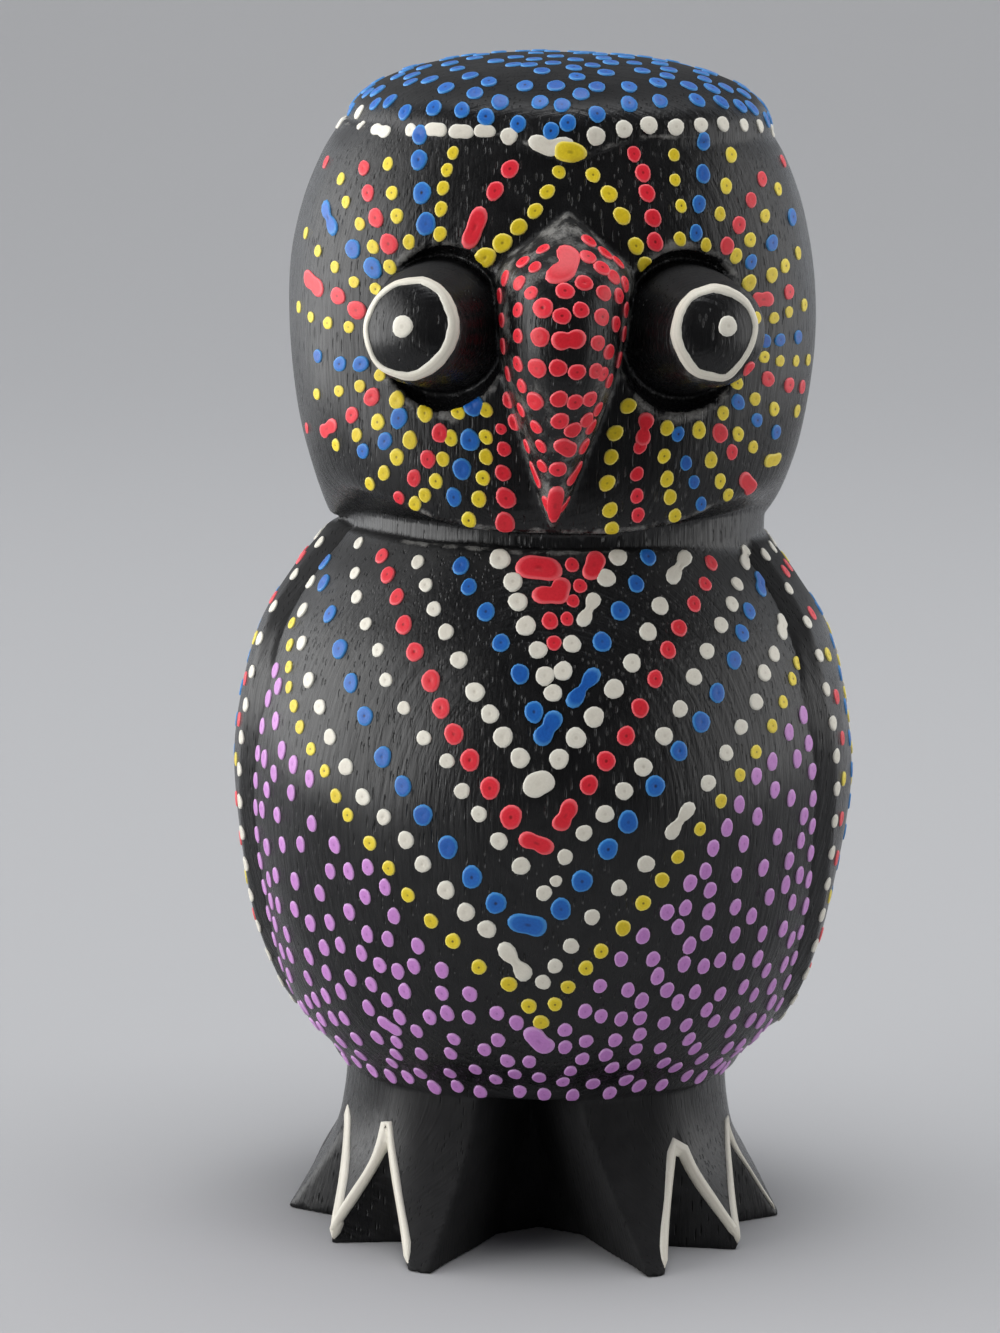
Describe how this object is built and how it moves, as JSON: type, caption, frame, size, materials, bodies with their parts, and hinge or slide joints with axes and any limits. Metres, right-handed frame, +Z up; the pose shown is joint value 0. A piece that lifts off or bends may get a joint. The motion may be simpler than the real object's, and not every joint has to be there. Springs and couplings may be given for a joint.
{
  "type": "carved wooden owl figurine",
  "caption": "Carved wooden owl ornament, painted black with rows of coloured dots, that stands upright on a flared foot with carved toes.",
  "frame": {"origin": "on the underside, at the upright axis of the body", "axes": "+Z up through the crown, -Y the way the owl looks, +X to the right of a viewer who faces it"},
  "size_m": [0.0636, 0.0598, 0.1202],
  "materials": {
    "black_painted_wood": "satin black paint over carved wood, with open pores and pale scuffs on the edges"
  },
  "bodies": {
    "root": {"carved_owl": "black_painted_wood"}
  },
  "joints": []
}
